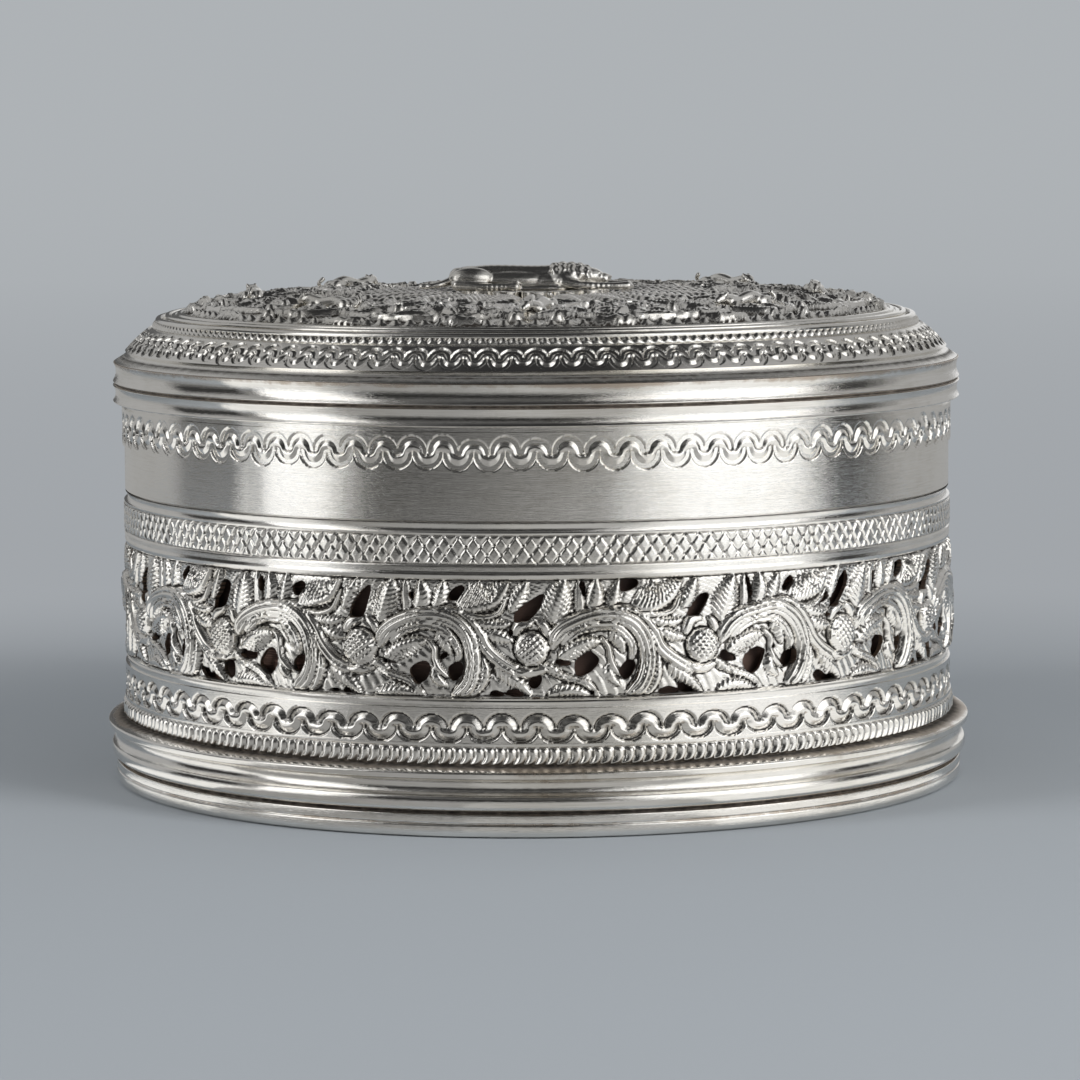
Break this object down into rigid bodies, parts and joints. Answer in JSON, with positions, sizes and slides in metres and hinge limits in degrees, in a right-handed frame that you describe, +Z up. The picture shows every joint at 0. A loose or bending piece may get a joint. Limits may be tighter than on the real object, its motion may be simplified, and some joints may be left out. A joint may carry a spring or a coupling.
{
  "type": "paan box",
  "caption": "Round chased silver paan box: pierced drum on a moulded foot, slip-on domed lid with a crouching animal finial, lift-out liner and a tray of covered cups.",
  "frame": {"origin": "middle of the foot, on the surface that the box stands on", "axes": "+Z up through the finial; the finial animal faces +X and -Y is the front of the picture"},
  "size_m": [0.1198, 0.1198, 0.0706],
  "materials": {
    "chased_silver": "chased and pierced silver, polished on the high spots, dark in the recesses",
    "plain_silver": "polished silver with fine scratches and light tarnish",
    "inner_silver": "plain silver inside the box, dulled by use",
    "copper_liner": "plain copper, brown with age",
    "brass_fixing": "turned brass"
  },
  "bodies": {
    "box": {"base_plate": "plain_silver", "foot_moulding": "plain_silver", "rope_border": "chased_silver", "drum_wall": "chased_silver", "lower_bead_wire": "plain_silver", "upper_bead_wire": "plain_silver", "seat_bead": "plain_silver", "inner_collar": "plain_silver"},
    "liner": {"liner_cup": "copper_liner"},
    "tray": {"tray": "inner_silver", "tray_post": "inner_silver", "cup_1": "inner_silver", "cup_2": "inner_silver", "cup_3": "inner_silver", "cup_4": "inner_silver"},
    "cap_1": {"cup_cap_1": "inner_silver", "cup_knob_1": "inner_silver"},
    "cap_2": {"cup_cap_2": "inner_silver", "cup_knob_2": "inner_silver"},
    "cap_3": {"cup_cap_3": "inner_silver", "cup_knob_3": "inner_silver"},
    "cap_4": {"cup_cap_4": "inner_silver", "cup_knob_4": "inner_silver"},
    "lid": {"lid_wall": "chased_silver", "lid_ridge_wire": "plain_silver", "lid_rim_moulding": "plain_silver", "lid_dome": "chased_silver", "dome_line_wire": "plain_silver", "dome_bead_wire": "chased_silver", "dome_beasts": "chased_silver", "finial_plate": "chased_silver", "finial_beast": "chased_silver", "finial_stud": "brass_fixing", "finial_washer": "brass_fixing", "finial_nut": "brass_fixing"}
  },
  "joints": [
    {"name": "liner_lift", "type": "slide", "parent": "box", "child": "liner", "axis": [0, 0, 1], "range_m": [0, 0.05]},
    {"name": "tray_lift", "type": "slide", "parent": "liner", "child": "tray", "axis": [0, 0, 1], "range_m": [0, 0.03]},
    {"name": "lid_lift", "type": "slide", "parent": "tray", "child": "lid", "axis": [0, 0, 1], "range_m": [0, 0.045]},
    {"name": "cap_1_lift", "type": "slide", "parent": "tray", "child": "cap_1", "axis": [0, 0, 1], "range_m": [0, 0.008]},
    {"name": "cap_2_lift", "type": "slide", "parent": "tray", "child": "cap_2", "axis": [0, 0, 1], "range_m": [0, 0.008]},
    {"name": "cap_3_lift", "type": "slide", "parent": "tray", "child": "cap_3", "axis": [0, 0, 1], "range_m": [0, 0.008]},
    {"name": "cap_4_lift", "type": "slide", "parent": "tray", "child": "cap_4", "axis": [0, 0, 1], "range_m": [0, 0.008]}
  ]
}
